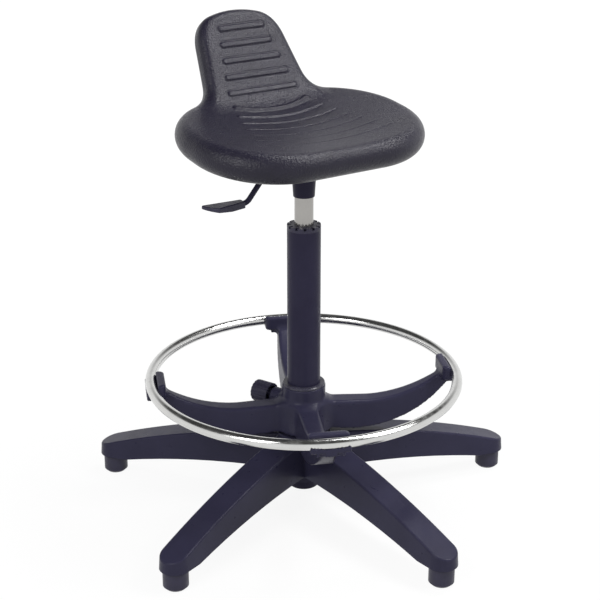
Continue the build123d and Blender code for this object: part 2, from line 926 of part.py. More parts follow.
with BuildPart() as knob_screw:
    screw_end = knob_start_radius + knob_length - screw_end_margin
    with BuildSketch(knob_plane.offset(pad_end)):
        Circle(screw_radius)
    extrude(amount=screw_end - pad_end)
save(knob_screw, "knob_screw")

with BuildPart() as knob:
    with BuildSketch(knob_plane.offset(knob_start_radius)):
        Circle(knob_radius)
        with PolarLocations(knob_radius + knob_scallop_radius - knob_scallop_depth, knob_lobe_count):
            Circle(knob_scallop_radius, mode=Mode.SUBTRACT)
    extrude(amount=knob_length)
    knob_face = knob.faces().filter_by(knob_plane).sort_by(Axis((0, 0, knob_height), knob_direction))[-1]
    fillet(knob_face.edges(), knob_edge_radius)
    with BuildSketch(knob_plane.offset(knob_start_radius)):
        Circle(knob_radius - knob_scallop_depth - knob_wall)
        Circle(knob_core_radius, mode=Mode.SUBTRACT)
    extrude(amount=knob_hollow_depth, mode=Mode.SUBTRACT)
    with BuildSketch(knob_plane.offset(knob_start_radius)):
        Circle(screw_radius + fit_gap)
    extrude(amount=knob_length - screw_end_margin + face_gap, mode=Mode.SUBTRACT)
save(knob, "knob")

# Taper socket: holds the cylinder's cone and passes up through the bracket's floor
with BuildPart() as taper_socket:
    socket_bottom = cone_bottom + face_gap
    socket_top = tray_floor_top + socket_rise
    cone_slope = cone_drop / cone_length
    low_bore_radius = cylinder_radius - cone_slope * face_gap + fit_gap
    top_bore_radius = cylinder_radius - cone_slope * (socket_top - cone_bottom) + fit_gap
    add(
        turned(
            (low_bore_radius, socket_bottom),
            (socket_low_radius, socket_bottom),
            (socket_step_radius, tray_bottom - socket_step_drop),
            (socket_top_radius, tray_bottom),
            (socket_top_radius, socket_top),
            (top_bore_radius, socket_top),
        )
    )
save(taper_socket, "taper_socket")

# Seat bracket: a pressed steel tray with a flange that bolts under the seat
with BuildPart() as seat_plate:
    with BuildSketch(Plane.XY.offset(flange_bottom)):
        RectangleRounded(plate_width, plate_depth, plate_corner)
    extrude(amount=flange_thickness)
    with BuildSketch(Plane.XY.offset(tray_bottom)):
        RectangleRounded(tray_width, tray_depth, tray_corner)
    extrude(amount=tray_drop)
    with BuildSketch(Plane.XY.offset(tray_floor_top)):
        RectangleRounded(
            tray_width - 2 * sheet_thickness,
            tray_depth - 2 * sheet_thickness,
            tray_corner - sheet_thickness,
        )
    extrude(amount=tray_drop - sheet_thickness, mode=Mode.SUBTRACT)
    with Locations((0, 0, tray_bottom)):
        Cylinder(
            socket_top_radius + fit_gap,
            sheet_thickness,
            align=(Align.CENTER, Align.CENTER, Align.MIN),
            mode=Mode.SUBTRACT,
        )
    with Locations((-tray_width / 2, 0, lever_height)):
        Box(
            lever_slot_depth,
            lever_slot_width,
            2 * (lever_radius + lever_slot_room),
            mode=Mode.SUBTRACT,
        )
    with Locations((0, 0, flange_bottom)):
        with GridLocations(bolt_spacing_x, bolt_spacing_y, 2, 2):
            Cylinder(
                bolt_radius + face_gap,
                flange_thickness,
                align=(Align.CENTER, Align.CENTER, Align.MIN),
                mode=Mode.SUBTRACT,
            )
save(seat_plate, "seat_plate")

# Lever: a bent rod on a pivot pin, held by a small bracket on the tray's floor
ear_inner = lever_radius + face_gap
ear_outer = ear_inner + bracket_wall
ear_top = lever_height + bracket_rise

with BuildPart() as lever_bracket:
    with Locations((lever_pivot_x, 0, tray_floor_top)):
        Box(
            bracket_length,
            2 * ear_outer,
            ear_top - tray_floor_top,
            align=(Align.CENTER, Align.CENTER, Align.MIN),
        )
    with Locations((lever_pivot_x, 0, tray_floor_top + bracket_wall)):
        Box(
            bracket_length,
            2 * ear_inner,
            ear_top,
            align=(Align.CENTER, Align.CENTER, Align.MIN),
            mode=Mode.SUBTRACT,
        )
    with Locations(Plane(origin=(lever_pivot_x, 0, lever_height), z_dir=(0, 1, 0))):
        Cylinder(pivot_radius + fit_gap, 2 * ear_outer, mode=Mode.SUBTRACT)
save(lever_bracket, "lever_bracket")

with BuildPart() as pivot_pin:
    with Locations(Plane(origin=(lever_pivot_x, 0, lever_height), z_dir=(0, 1, 0))):
        Cylinder(pivot_radius, 2 * (ear_outer + pivot_overhang))
save(pivot_pin, "pivot_pin")

with BuildPart() as pivot_clips:
    clip_middle = ear_outer + fit_gap + pivot_clip_thickness / 2
    for side in (-1, 1):
        with Locations(Plane(origin=(lever_pivot_x, side * clip_middle, lever_height), z_dir=(0, 1, 0))):
            Cylinder(pivot_clip_radius, pivot_clip_thickness)
            Cylinder(pivot_radius + fit_gap, pivot_clip_thickness, mode=Mode.SUBTRACT)
save(pivot_clips, "pivot_clips")

with BuildPart() as lever_rod:
    with BuildLine() as lever_path:
        FilletPolyline(
            (lever_inner_x, 0, lever_height),
            (lever_bend_x, 0, lever_height),
            (lever_paddle_x, 0, lever_paddle_height),
            (lever_paddle_x - lever_grip_length, 0, lever_paddle_height),
            radius=lever_bend_radius,
        )
    with BuildSketch(Plane(origin=lever_path.line @ 0, z_dir=lever_path.line % 0)):
        Circle(lever_radius)
    sweep()
    with Locations(Plane(origin=(lever_pivot_x, 0, lever_height), z_dir=(0, 1, 0))):
        Cylinder(pivot_radius + running_gap, 2 * ear_outer, mode=Mode.SUBTRACT)
save(lever_rod, "lever_rod")

with BuildPart() as lever_paddle:
    lever_drop_angle = atan(lever_drop / (lever_bend_x - lever_paddle_x))
    paddle_start = lever_paddle_x - lever_bend_radius * tan(lever_drop_angle / 2)
    paddle_end = paddle_start - paddle_length
    paddle_wide = paddle_start - paddle_wide_at
    with BuildSketch(Plane.XY.offset(lever_paddle_height - paddle_thickness / 2)) as paddle_outline:
        paddle_tip = (paddle_end, paddle_tip_back)
        with BuildLine():
            Line((paddle_start, -paddle_neck_width / 2), (paddle_start, paddle_neck_width / 2))
            Line((paddle_start, paddle_neck_width / 2), paddle_tip)
            ThreePointArc(
                paddle_tip,
                (paddle_end + paddle_turn, -paddle_turn),
                (paddle_wide, -paddle_front),
            )
            Line((paddle_wide, -paddle_front), (paddle_start, -paddle_neck_width / 2))
        make_face()
        fillet(paddle_outline.vertices().sort_by(Axis.X)[0], paddle_tip_radius)
    extrude(amount=paddle_thickness)
    with BuildSketch(Plane.XZ):
        paddle_bottom = lever_paddle_height - paddle_thickness / 2
        with BuildLine():
            Polyline(
                (paddle_start - lever_grip_length, paddle_bottom),
                (paddle_end, paddle_bottom),
                (paddle_end, paddle_bottom + paddle_thinning),
                close=True,
            )
        make_face()
    extrude(amount=2 * paddle_front, both=True, mode=Mode.SUBTRACT)
    fillet(lever_paddle.faces().sort_by(Axis.Z)[-1].edges(), paddle_edge_radius)
    with Locations(Plane(origin=(paddle_start, 0, lever_paddle_height), z_dir=(-1, 0, 0))):
        Cylinder(
            lever_radius + fit_gap,
            lever_grip_length + face_gap,
            align=(Align.CENTER, Align.CENTER, Align.MIN),
            mode=Mode.SUBTRACT,
        )
save(lever_paddle, "lever_paddle")

# Seat board: the plywood board moulded into the underside, with tee nuts for the bolts
with BuildPart() as seat_board:
    with BuildSketch(Plane.XY.offset(seat_base_height)):
        RectangleRounded(board_width, board_depth, board_corner)
    extrude(amount=board_thickness)
    with Locations((0, 0, seat_base_height)):
        with GridLocations(bolt_spacing_x, bolt_spacing_y, 2, 2):
            Cylinder(
                tee_barrel_radius + fit_gap,
                board_thickness,
                align=(Align.CENTER, Align.CENTER, Align.MIN),
                mode=Mode.SUBTRACT,
            )
save(seat_board, "seat_board")

with BuildPart() as tee_nuts:
    with Locations((0, 0, board_top)):
        with GridLocations(bolt_spacing_x, bolt_spacing_y, 2, 2):
            Cylinder(
                tee_flange_radius,
                tee_flange_thickness,
                align=(Align.CENTER, Align.CENTER, Align.MIN),
            )
            Cylinder(
                tee_barrel_radius,
                board_thickness - face_gap,
                align=(Align.CENTER, Align.CENTER, Align.MAX),
            )
            Cylinder(
                bolt_radius + fit_gap,
                board_thickness,
                align=(Align.CENTER, Align.CENTER, Align.MAX),
                mode=Mode.SUBTRACT,
            )
save(tee_nuts, "tee_nuts")

with BuildPart() as seat_washers:
    with Locations((0, 0, flange_bottom)):
        with GridLocations(bolt_spacing_x, bolt_spacing_y, 2, 2):
            Cylinder(
                washer_radius,
                washer_thickness,
                align=(Align.CENTER, Align.CENTER, Align.MAX),
            )
            Cylinder(
                bolt_radius + fit_gap,
                washer_thickness,
                align=(Align.CENTER, Align.CENTER, Align.MAX),
                mode=Mode.SUBTRACT,
            )
save(seat_washers, "seat_washers")

with BuildPart() as seat_bolts:
    bolt_head_top = flange_bottom - washer_thickness
    with BuildSketch(Plane.XY.offset(bolt_head_top - bolt_head_height)):
        with GridLocations(bolt_spacing_x, bolt_spacing_y, 2, 2):
            RegularPolygon(bolt_head_radius, 6)
    extrude(amount=bolt_head_height)
    with Locations((0, 0, bolt_head_top)):
        with GridLocations(bolt_spacing_x, bolt_spacing_y, 2, 2):
            Cylinder(
                bolt_radius,
                seat_base_height + bolt_length_in_seat - bolt_head_top,
                align=(Align.CENTER, Align.CENTER, Align.MIN),
            )
save(seat_bolts, "seat_bolts")

# Seat and back: one moulded foam piece with a rolled rim, a dished top with ribs, and a low leaning back
seat_plane = Plane(
    origin=(0, 0, seat_edge_height),
    x_dir=(1, 0, 0),
    z_dir=(0, -sin(radians(seat_tilt)), cos(radians(seat_tilt))),
)
back_plane = Plane(
    origin=(0, back_middle_y, back_middle_height),
    x_dir=(1, 0, 0),
    z_dir=(0, -cos(radians(back_lean)), sin(radians(back_lean))),
)
rim_top = seat_rim_radius - seat_rim_flat
dish_ball_radius = (dish_radius**2 + dish_depth**2) / (2 * dish_depth)
dish_ball_height = rim_top - dish_depth + dish_ball_radius


def rim_inset(height):
    """How far the rolled rim is drawn in at a height from its middle."""
    return seat_rim_radius - sqrt(seat_rim_radius**2 - height**2)


def dish_point(x, y):
    """A point of the dished top at a place on the seat plane."""
    reach = hypot(x, y - dish_centre_y)
    height = dish_ball_height - sqrt(dish_ball_radius**2 - reach**2)
    return seat_plane.from_local_coords(Vector(x, y, height))


with BuildPart() as seat_back:
    with BuildSketch(back_plane) as back_outline:
        with BuildLine():
            ThreePointArc(
                (back_shoulder_width / 2, back_shoulder),
                (0, back_top),
                (-back_shoulder_width / 2, back_shoulder),
            )
            Line((-back_shoulder_width / 2, back_shoulder), (-back_waist_width / 2, back_waist))
            ThreePointArc(
                (-back_waist_width / 2, back_waist),
                (-back_flare_width / 2, back_flare_height),
                (-back_root_width / 2, back_root),
            )
            Line((-back_root_width / 2, back_root), (back_root_width / 2, back_root))
            ThreePointArc(
                (back_root_width / 2, back_root),
                (back_flare_width / 2, back_flare_height),
                (back_waist_width / 2, back_waist),
            )
            Line((back_waist_width / 2, back_waist), (back_shoulder_width / 2, back_shoulder))
        make_face()
        fillet(back_outline.vertices().group_by(Axis.Y)[-1], back_corner)
    extrude(amount=-back_thickness)
    back_edges = seat_back.faces().filter_by(back_plane).edges()
    back_up = Axis(back_plane.origin, back_plane.y_dir)
    back_edges = back_edges.filter_by_position(back_up, back_root, back_top, inclusive=(False, True))
    fillet(back_edges, back_edge_radius)

with BuildPart() as seat_pad:
    for height in (-rim_top, -seat_rim_step, 0, seat_rim_step, rim_top):
        inset = rim_inset(height)
        with BuildSketch(seat_plane.offset(height)):
            with Locations((0, seat_centre_y)):
                RectangleRounded(seat_width - 2 * inset, seat_depth - 2 * inset, seat_corner - inset)
    loft()
    with Locations(seat_plane):
        with Locations((0, dish_centre_y, dish_ball_height)):
            Sphere(dish_ball_radius, mode=Mode.SUBTRACT)
    add(seat_back.part)
    with BuildSketch(Plane.XY.offset(seat_base_height)):
        RectangleRounded(boss_width, boss_depth, boss_corner)
    extrude(amount=board_thickness + tee_flange_thickness + face_gap)
    with BuildSketch(back_plane):
        for bar in range(bar_count):
            bar_length = bar_length_first + bar * bar_length_step
            with Locations((0, bar_pitch * ((bar_count - 1) / 2 - bar))):
                SlotOverall(bar_length, bar_height)
    extrude(amount=bar_rise)
    for rib in range(rib_count):
        rib_middle = rib_middle_first + rib * rib_pitch
        rib_half = rib_half_length_first - rib * rib_half_length_step
        rib_end = rib_middle + rib_sag
        with BuildLine() as rib_path:
            ThreePointArc(
                dish_point(-rib_half, rib_end),
                dish_point(0, rib_middle),
                dish_point(rib_half, rib_end),
            )
        with BuildSketch(Plane(origin=rib_path.line @ 0, z_dir=rib_path.line % 0)):
            Circle(rib_radius)
        sweep()
        with Locations(rib_path.line @ 0, rib_path.line @ 1):
            Sphere(rib_radius)
    with BuildSketch(Plane.XY.offset(seat_base_height)):
        RectangleRounded(
            board_width + 2 * fit_gap, board_depth + 2 * fit_gap, board_corner + fit_gap
        )
    extrude(amount=board_thickness, mode=Mode.SUBTRACT)
    with Locations((0, 0, board_top)):
        with GridLocations(bolt_spacing_x, bolt_spacing_y, 2, 2):
            Cylinder(
                tee_flange_radius + fit_gap,
                tee_flange_thickness + fit_gap,
                align=(Align.CENTER, Align.CENTER, Align.MIN),
                mode=Mode.SUBTRACT,
            )
save(seat_pad, "seat_pad")
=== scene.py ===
import json
from math import cos, pi, radians, sin

import bmesh
import bpy
import numpy as np
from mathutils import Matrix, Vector


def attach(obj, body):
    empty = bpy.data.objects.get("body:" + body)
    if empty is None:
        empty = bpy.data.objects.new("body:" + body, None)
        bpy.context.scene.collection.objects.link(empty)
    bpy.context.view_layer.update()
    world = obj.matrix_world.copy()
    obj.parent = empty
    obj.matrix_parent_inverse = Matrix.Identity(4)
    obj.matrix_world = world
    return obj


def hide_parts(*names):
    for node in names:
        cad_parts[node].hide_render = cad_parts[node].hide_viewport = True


# Technician stool: the looks of the seat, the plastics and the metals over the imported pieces.
# Lengths that end in _mm are millimetres and all others are metres; angles are degrees.
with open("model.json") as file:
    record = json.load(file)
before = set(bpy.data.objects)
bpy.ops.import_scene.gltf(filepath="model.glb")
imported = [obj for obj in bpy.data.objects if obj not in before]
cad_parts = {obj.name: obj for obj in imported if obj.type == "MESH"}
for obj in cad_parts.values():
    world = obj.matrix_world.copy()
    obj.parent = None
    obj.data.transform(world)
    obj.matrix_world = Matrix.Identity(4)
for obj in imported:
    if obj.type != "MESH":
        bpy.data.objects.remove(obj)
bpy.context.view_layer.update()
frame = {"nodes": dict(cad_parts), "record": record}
METRES_PER_MM = 0.001
# Noise between these two values is spread over the whole range of what it varies
NOISE_RANGE = (0.3, 0.7)

# Camera
camera_place_mm = (-1128.7, -1694.8, 1127.0)
camera_pitch = 21.38
camera_heading = 33.5
camera_lens_mm = 88.0
camera_sensor_mm = 36.0

# Seat: a tilted pad with a rolled rim and a dished top
seat_height_mm = 584.0
seat_tilt = 7.0
seat_width_mm = 370.0
seat_depth_mm = 259.0
seat_corner_mm = 121.0
seat_centre_y_mm = 6.5
rim_roll_mm = 22.5
rim_half_mm = 22.6
dish_depth_mm = 12.0
dish_reach_mm = 140.0
dish_centre_y_mm = 25.0
dish_softness_mm = 9.0

# Back: a low plate that leans away and flares out where it grows from the seat
back_middle_y_mm = 140.0
back_middle_height_mm = 669.0
back_lean = 35.0
back_top_mm = 83.6
back_shoulder_mm = 66.0
back_shoulder_half_mm = 68.5
back_taper = 0.15
back_root_mm = -92.0
back_flare_mm = 24.0
back_flare_fall_mm = 16.0
back_corner_mm = 24.3
back_thickness_mm = 33.0
back_edge_mm = 13.0
back_join_mm = 26.0

# Moulded bars on the back and ribs on the seat
bar_count = 5
bar_pitch_mm = 25.6
bar_half_height_mm = 4.75
bar_length_first_mm = 80.0
bar_length_step_mm = 10.0
bar_rise_mm = 1.6
bar_edge_mm = 2.2
bar_groove_mm = 0.8
bar_groove_half_mm = 1.3
rib_count = 7
rib_first_mm = -68.0
rib_pitch_mm = 24.0
rib_half_first_mm = 112.0
rib_half_step_mm = 8.5
rib_sag_mm = 12.0
rib_rise_front_mm = 0.5
rib_rise_back_mm = 4.0
rib_width_front_mm = 2.6
rib_width_back_mm = 6.0
rib_growth = 3
rib_lowest_mm = -11.5

# Underside of the seat, round the board that carries the bolts
boss_width_mm = 218.0
boss_depth_mm = 162.0
boss_corner_mm = 36.0
boss_bottom_mm = 550.0
boss_top_mm = 585.0
boss_edge_mm = 3.0
board_width_mm = 200.6
board_depth_mm = 146.6
board_corner_mm = 26.3
board_top_mm = 563.8

# Foot ring and the spider that carries it
ring_radius_mm = 232.0
ring_tube_mm = 8.0
ring_height_mm = 207.0
ring_steps = 288
tube_steps = 32
arm_count = 4
arm_first_angle = -24.5
arm_root_half_mm = 20.0
arm_neck_half_mm = 16.0
arm_end_half_mm = 13.5
arm_neck_radius_mm = 190.0
arm_end_mm = 226.0
arm_draft = 5.0
arm_edge_mm = 5.0
arm_join_mm = 12.0
arm_bottom_mm = 126.0
arm_root_top_mm = 168.0
arm_top_arc_mm = ((100.0, 164.0), (152.0, 171.5), (212.0, 200.0))
arm_under_arc_mm = ((38.0, 126.0), (150.0, 134.0), (226.0, 190.0))
saddle_inner_mm = 211.0
saddle_outer_mm = 239.5
saddle_bottom_mm = 195.0
saddle_half_mm = 29.0
saddle_corner_mm = 8.0
saddle_edge_mm = 3.0
saddle_join_mm = 7.0
saddle_wall_mm = 223.0
saddle_wall_top_mm = 217.0
saddle_foot_mm = 214.0
saddle_foot_bottom_mm = 190.0
saddle_foot_half_mm = 20.0
# The middle notch of a saddle is left out: on this grid it would open into the screw's hole
notch_places_mm = (-12.5, 12.5)
notch_half_mm = 4.0
notch_depth_mm = 2.4
screw_head_mm = 4.8
screw_head_top_mm = 194.0
hub_radius_mm = 38.0
hub_bottom_mm = 121.3
hub_top_mm = 168.0
hub_edge_mm = 3.0
hub_bore_mm = 29.2
collar_radius_mm = 33.0
collar_top_mm = 194.0
collar_join_mm = 8.0
collar_edge_mm = 1.5
knob_angle = 112.5
knob_height_mm = 160.0
knob_boss_mm = 13.0
knob_boss_end_mm = 56.0
knob_insert_mm = 6.6
small_join_mm = 4.0
spider_low_mm = (-252.0, -252.0, 117.0)
spider_high_mm = (252.0, 252.0, 222.0)
spider_cell_mm = 2.0

# Studio, in metres and watts
floor_half = 14.0
floor_colour = (0.5, 0.5, 0.5)
floor_glow = 1.05
floor_roughness = 0.9
floor_shadow_reach = 1.1
floor_shadow_share = 0.15
lamp_target = (0, 0, 0.45)
lamps = {
    "overhead": {"place": (0.9, -0.05, 2.3), "size": (0.65, 0.65), "watts": 28},
    "front": {"place": (1.1, -1.25, 2.0), "size": (0.85, 0.75), "watts": 32},
    "left": {"place": (-1.85, -0.65, 1.8), "size": (0.9, 1.1), "watts": 29},
}
# The backdrop fades between two heights on a ball round the scene, whose radius is 1
backdrop_heights = (0.38, 0.58)
backdrop_white = 1.0
room_dark = 0.06

# Looks of plain plastics and metals, and how far they wander about their colour and roughness
ground_lines = (1, 1, 0.05)
plastics = {
    "black_plastic": {"colour": (0.024, 0.022, 0.044), "roughness": 0.42},
    "sleeve_plastic": {"colour": (0.040, 0.038, 0.056), "roughness": 0.3},
    "seal_rubber": {"colour": (0.016, 0.016, 0.016), "roughness": 0.7},
}
metals = {
    "chrome_plate": {"colour": (0.64, 0.64, 0.63), "roughness": 0.18, "grain_mm": 12},
    "ground_chrome": {
        "colour": (0.36, 0.35, 0.335),
        "roughness": 0.2,
        "grain_mm": 4,
        "stretch": ground_lines,
    },
    "plain_steel": {"colour": (0.55, 0.55, 0.56), "roughness": 0.32, "grain_mm": 3},
    "valve_alloy": {"colour": (0.78, 0.78, 0.79), "roughness": 0.3, "grain_mm": 3},
    "insert_brass": {"colour": (0.75, 0.57, 0.26), "roughness": 0.28, "grain_mm": 3},
}
plastic_specular = 0.3
plastic_darkest = 0.85
plastic_palest = 1.2
plastic_roughness_spread = 0.07
metal_darkest = 0.93
metal_smoothest = 0.7
metal_roughest = 1.4

# Mesh of the seat, and how the points of both meshes settle on their forms
seat_cell_mm = 2.5
detail_cuts = 2
detail_margin_mm = 4.0
seat_low_mm = (-192.0, -132.0, 546.0)
seat_high_mm = (192.0, 226.0, 740.0)
settle_rounds = 3
slope_step_mm = 0.2
least_steepness = 0.25


# Signed distances in millimetres, negative inside
def rounded_rectangle(across, along, width, depth, corner):
    """Distance from a flat rectangle with round corners."""
    beside = np.abs(across) - (width / 2 - corner)
    beyond = np.abs(along) - (depth / 2 - corner)
    outside = np.hypot(np.maximum(beside, 0), np.maximum(beyond, 0))
    return outside + np.minimum(np.maximum(beside, beyond), 0) - corner


def thickened(outline, height, half_thickness, roll):
    """Distance from a flat outline that is given a thickness and rolled edges."""
    beside = outline + roll
    above = np.abs(height) - (half_thickness - roll)
    outside = np.hypot(np.maximum(beside, 0), np.maximum(above, 0))
    return outside + np.minimum(np.maximum(beside, above), 0) - roll


def joined(one, other, width):
    """Union of two forms with a soft hollow of the given width between them."""
    share = np.clip(0.5 + 0.5 * (other - one) / width, 0, 1)
    return other * (1 - share) + one * share - width * share * (1 - share)


def overlapped(one, other, width):
    """What two forms have in common, with a soft edge of the given width."""
    return -joined(-one, -other, width)


def soft_step(value):
    """From 0 to 1 as the value goes from 0 to 1, level at both ends."""
    part = np.clip(value, 0, 1)
    return part * part * (3 - 2 * part)


def seat_place(y, z):
    """Place along the depth of the tilted seat, and height above its middle plane."""
    tilt = radians(seat_tilt)
    rise = z - seat_height_mm
    return y * cos(tilt) + rise * sin(tilt), rise * cos(tilt) - y * sin(tilt)


def back_place(y, z):
    """Height along the leaning back and distance in front of its face."""
    lean = radians(back_lean)
    behind = y - back_middle_y_mm
    rise = z - back_middle_height_mm
    return behind * sin(lean) + rise * cos(lean), rise * sin(lean) - behind * cos(lean)


def pad_form(x, y, z):
    """The seat without its back: a rolled pad with a dish in its top."""
    along, height = seat_place(y, z)
    outline = rounded_rectangle(x, along - seat_centre_y_mm, seat_width_mm, seat_depth_mm, seat_corner_mm)
    pad = thickened(outline, height, rim_half_mm, rim_roll_mm)
    ball_radius = (dish_reach_mm**2 + dish_depth_mm**2) / (2 * dish_depth_mm)
    ball_height = rim_half_mm - dish_depth_mm + ball_radius
    ball = np.sqrt(x**2 + (along - dish_centre_y_mm) ** 2 + (height - ball_height) ** 2) - ball_radius
    return overlapped(pad, -ball, dish_softness_mm)


def back_form(x, y, z):
    """The back plate, arched on top and flared at its root."""
    up, front = back_place(y, z)
    flare = back_flare_mm * np.exp(-np.maximum(up - back_root_mm, 0) / back_flare_fall_mm)
    half_width = back_shoulder_half_mm + back_taper * (back_shoulder_mm - up) + flare
    arch_drop = back_top_mm - back_shoulder_mm
    arch_radius = (back_shoulder_half_mm**2 + arch_drop**2) / (2 * arch_drop)
    arch = np.hypot(x, up - back_top_mm + arch_radius) - arch_radius
    outline = overlapped(np.abs(x) - half_width, arch, back_corner_mm)
    outline = np.maximum(outline, back_root_mm - up)
    return thickened(outline, front + back_thickness_mm / 2, back_thickness_mm / 2, back_edge_mm)


def boss_form(x, y, z):
    """The raised underside that holds the seat board."""
    outline = rounded_rectangle(x, y, boss_width_mm, boss_depth_mm, boss_corner_mm)
    middle = (boss_bottom_mm + boss_top_mm) / 2
    return thickened(outline, z - middle, (boss_top_mm - boss_bottom_mm) / 2, boss_edge_mm)


def board_form(x, y, z):
    """The recess for the seat board, open downwards."""
    outline = rounded_rectangle(x, y, board_width_mm, board_depth_mm, board_corner_mm)
    return np.maximum(outline, z - board_top_mm)


def bar_rise(x, y, z):
    """How far the moulded bars stand out of the back's face."""
    up, front = back_place(y, z)
    rise = np.zeros_like(x)
    for bar in range(bar_count):
        middle = bar_pitch_mm * ((bar_count - 1) / 2 - bar)
        half_straight = (bar_length_first_mm + bar * bar_length_step_mm) / 2 - bar_half_height_mm
        beyond = np.maximum(np.abs(x) - half_straight, 0)
        depth = bar_half_height_mm - np.hypot(beyond, up - middle)
        groove = soft_step(1 - np.abs(depth / bar_groove_half_mm + 1))
        rise = rise + bar_rise_mm * soft_step(depth / bar_edge_mm) - bar_groove_mm * groove
    return np.where(front > -back_edge_mm, rise, 0)


def rib_rise(x, y, z):
    """How far the curved ribs stand out of the seat's top."""
    along, height = seat_place(y, z)
    rise = np.zeros_like(x)
    for rib in range(rib_count):
        half = rib_half_first_mm - rib * rib_half_step_mm
        middle = rib_first_mm + rib * rib_pitch_mm
        beside = np.clip(x, -half, half)
        line = middle + rib_sag_mm * (beside / half) ** 2
        slope = 2 * rib_sag_mm * beside / half**2
        away = np.hypot((along - line) / np.sqrt(1 + slope**2), x - beside)
        share = (rib / (rib_count - 1)) ** rib_growth
        height_here = rib_rise_front_mm + share * (rib_rise_back_mm - rib_rise_front_mm)
        width_here = rib_width_front_mm + share * (rib_width_back_mm - rib_width_front_mm)
        rise = np.maximum(rise, height_here * soft_step(1 - away / width_here))
    return np.where(height > rib_lowest_mm, rise, 0)


def plain_seat_form(x, y, z):
    """The moulded seat without its bars and ribs."""
    pad = joined(pad_form(x, y, z), back_form(x, y, z), back_join_mm)
    whole = joined(pad, boss_form(x, y, z), boss_edge_mm)
    return np.maximum(whole, -board_form(x, y, z))


def seat_form(x, y, z):
    """The whole moulded seat."""
    return plain_seat_form(x, y, z) - bar_rise(x, y, z) - rib_rise(x, y, z)


def arc_height(along, points):
    """Height of a hanging arc through three points, whose middle is as far from each of them."""
    (x1, z1), (x2, z2), (x3, z3) = points
    first_pair = (x2**2 - x1**2 + z2**2 - z1**2) / 2
    second_pair = (x3**2 - x2**2 + z3**2 - z2**2) / 2
    scale = (x2 - x1) * (z3 - z2) - (x3 - x2) * (z2 - z1)
    middle_x = (first_pair * (z3 - z2) - second_pair * (z2 - z1)) / scale
    middle_z = ((x2 - x1) * second_pair - (x3 - x2) * first_pair) / scale
    radius = np.hypot(x1 - middle_x, z1 - middle_z)
    return middle_z - np.sqrt(np.maximum(radius**2 - (along - middle_x) ** 2, 0))


def drum_form(x, y, z, radius, bottom, top, roll):
    """An upright cylinder with rolled edges."""
    return thickened(np.hypot(x, y) - radius, z - (bottom + top) / 2, (top - bottom) / 2, roll)


def saddle_form(along, across, z):
    """The end of an arm: a block under the ring, a wall inside it and a notched foot."""
    reach = saddle_outer_mm + saddle_corner_mm - saddle_inner_mm
    middle = saddle_inner_mm + reach / 2
    outline = rounded_rectangle(along - middle, across, reach, 2 * saddle_half_mm, saddle_corner_mm)
    block = np.maximum(outline, along - saddle_outer_mm)
    block = overlapped(block, np.maximum(z - ring_height_mm, saddle_bottom_mm - z), saddle_edge_mm)
    wall = np.maximum(outline, along - saddle_wall_mm)
    wall = overlapped(wall, np.maximum(z - saddle_wall_top_mm, saddle_bottom_mm - z), saddle_edge_mm)
    foot = np.maximum(saddle_foot_mm - along, along - saddle_outer_mm)
    foot = np.maximum(foot, np.abs(across) - saddle_foot_half_mm)
    foot = np.maximum(foot, np.maximum(saddle_foot_bottom_mm - z, z - ring_height_mm))
    for place in notch_places_mm:
        gap = np.maximum(np.abs(across - place) - notch_half_mm, saddle_outer_mm - notch_depth_mm - along)
        foot = np.maximum(foot, -np.maximum(gap, z - saddle_bottom_mm))
    return np.minimum(np.minimum(block, wall), foot)


def arm_form(along, across, z):
    """One arm of the spider with the saddle at its end."""
    top_start = arm_top_arc_mm[0][0]
    root_slope = (arm_root_top_mm - arm_top_arc_mm[0][1]) / top_start
    flat_top = arm_root_top_mm - root_slope * along
    top = np.where(along < top_start, flat_top, arc_height(along, arm_top_arc_mm))
    top = np.minimum(top, arm_top_arc_mm[-1][1])
    under = np.where(along < hub_radius_mm, arm_bottom_mm, arc_height(along, arm_under_arc_mm))
    width_places = (0, arm_neck_radius_mm, saddle_outer_mm)
    half = np.interp(along, width_places, (arm_root_half_mm, arm_neck_half_mm, arm_end_half_mm))
    half = half - np.tan(radians(arm_draft)) * (z - arm_bottom_mm)
    blade = overlapped(np.abs(across) - half, z - top, arm_edge_mm)
    blade = np.maximum(np.maximum(blade, under - z), np.maximum(along - arm_end_mm, -along))
    return joined(blade, saddle_form(along, across, z), saddle_join_mm)


def spider_form(x, y, z):
    """The whole spider: hub, collar, knob boss and arms, bored for the sleeve and the ring."""
    sector = 2 * pi / arm_count
    turn = np.arctan2(y, x) - radians(arm_first_angle)
    turn = (turn + sector / 2) % sector - sector / 2
    reach = np.hypot(x, y)
    along = reach * np.cos(turn)
    across = reach * np.sin(turn)
    hub = drum_form(x, y, z, hub_radius_mm, hub_bottom_mm, hub_top_mm, hub_edge_mm)
    collar = drum_form(x, y, z, collar_radius_mm, hub_bottom_mm, collar_top_mm, collar_edge_mm)
    whole = joined(hub, collar, collar_join_mm)
    whole = joined(whole, arm_form(along, across, z), arm_join_mm)
    knob_turn = radians(knob_angle)
    out = x * cos(knob_turn) + y * sin(knob_turn)
    round_knob = np.hypot(y * cos(knob_turn) - x * sin(knob_turn), z - knob_height_mm)
    boss = np.maximum(np.maximum(round_knob - knob_boss_mm, out - knob_boss_end_mm), -out)
    whole = joined(whole, boss, small_join_mm)
    bore = reach - hub_bore_mm
    ring = np.hypot(reach - ring_radius_mm, z - ring_height_mm) - ring_tube_mm
    insert = np.maximum(round_knob - knob_insert_mm, -out)
    screw = np.maximum(np.hypot(along - ring_radius_mm, across) - screw_head_mm, z - screw_head_top_mm)
    for cut in (bore, ring, insert, screw):
        whole = np.maximum(whole, -cut)
    return whole


